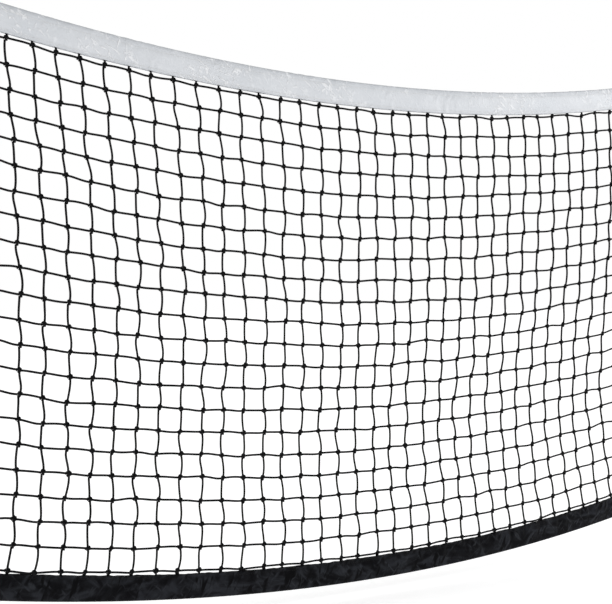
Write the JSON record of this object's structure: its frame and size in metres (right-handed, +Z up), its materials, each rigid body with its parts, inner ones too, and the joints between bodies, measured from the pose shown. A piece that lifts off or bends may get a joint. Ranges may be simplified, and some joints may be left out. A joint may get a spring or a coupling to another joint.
{
  "type": "tennis net",
  "caption": "Sagging tennis net: white folded headband over a coated steel cable, black knotted mesh, black bottom and side bands with dowels and lacing grommets.",
  "frame": {"origin": "half way between the two cable eyes, on the line the net hangs from", "axes": "+X along the net from the left eye to the right eye, +Y through the net away from the viewer, +Z up"},
  "size_m": [3.2092, 0.0164, 1.389],
  "materials": {
    "white_vinyl": "white PVC-coated fabric, satin gloss with fine crinkles",
    "black_vinyl": "black vinyl-coated polyester, soft sheen, puckered along its seams",
    "twine": "black braided polyethylene twine, knotted",
    "white_thread": "white bonded polyester thread",
    "black_thread": "black bonded polyester thread",
    "cord_fibre": "black braided polyester cord",
    "steel_wire": "galvanised steel wire strand",
    "cable_vinyl": "black extruded vinyl jacket",
    "zinc_steel": "zinc-plated steel",
    "sleeve_aluminium": "pressed aluminium ferrule",
    "grommet_brass": "rolled brass, lightly dulled",
    "rivet_brass": "brass rivet, lightly dulled",
    "fibreglass": "pultruded fibreglass rod, faint lengthwise fibres",
    "cap_rubber": "dipped vinyl end cap"
  },
  "bodies": {
    "cable": {"cable_core": "steel_wire", "cable_jacket": "cable_vinyl", "left_cable_thimble": "zinc_steel", "left_cable_sleeve": "sleeve_aluminium", "right_cable_thimble": "zinc_steel", "right_cable_sleeve": "sleeve_aluminium"},
    "net": {"headband": "white_vinyl", "headband_upper_thread": "white_thread", "headband_lower_thread": "white_thread", "bottom_band": "black_vinyl", "bottom_cord": "cord_fibre", "bottom_band_thread": "black_thread", "netting": "twine", "left_side_band": "black_vinyl", "left_side_band_thread": "black_thread", "left_grommet_eyelets": "grommet_brass", "left_grommet_washers": "grommet_brass", "left_corner_patch": "white_vinyl", "left_patch_rivets": "rivet_brass", "right_side_band": "black_vinyl", "right_side_band_thread": "black_thread", "right_grommet_eyelets": "grommet_brass", "right_grommet_washers": "grommet_brass", "right_corner_patch": "white_vinyl", "right_patch_rivets": "rivet_brass"},
    "left_dowel": {"left_dowel": "fibreglass", "left_dowel_top_cap": "cap_rubber", "left_dowel_bottom_cap": "cap_rubber"},
    "right_dowel": {"right_dowel": "fibreglass", "right_dowel_top_cap": "cap_rubber", "right_dowel_bottom_cap": "cap_rubber"}
  },
  "joints": [
    {"name": "net_slides_on_cable", "type": "hinge", "parent": "cable", "child": "net", "pos_m": [0, 0, 3.89061], "axis": [0, -1, 0], "range_deg": [-0.52, 0.52]},
    {"name": "left_dowel_slide", "type": "slide", "parent": "net", "child": "left_dowel", "axis": [0, 0, -1], "range_m": [0, 0.95]},
    {"name": "right_dowel_slide", "type": "slide", "parent": "net", "child": "right_dowel", "axis": [0, 0, -1], "range_m": [0, 0.95]}
  ]
}
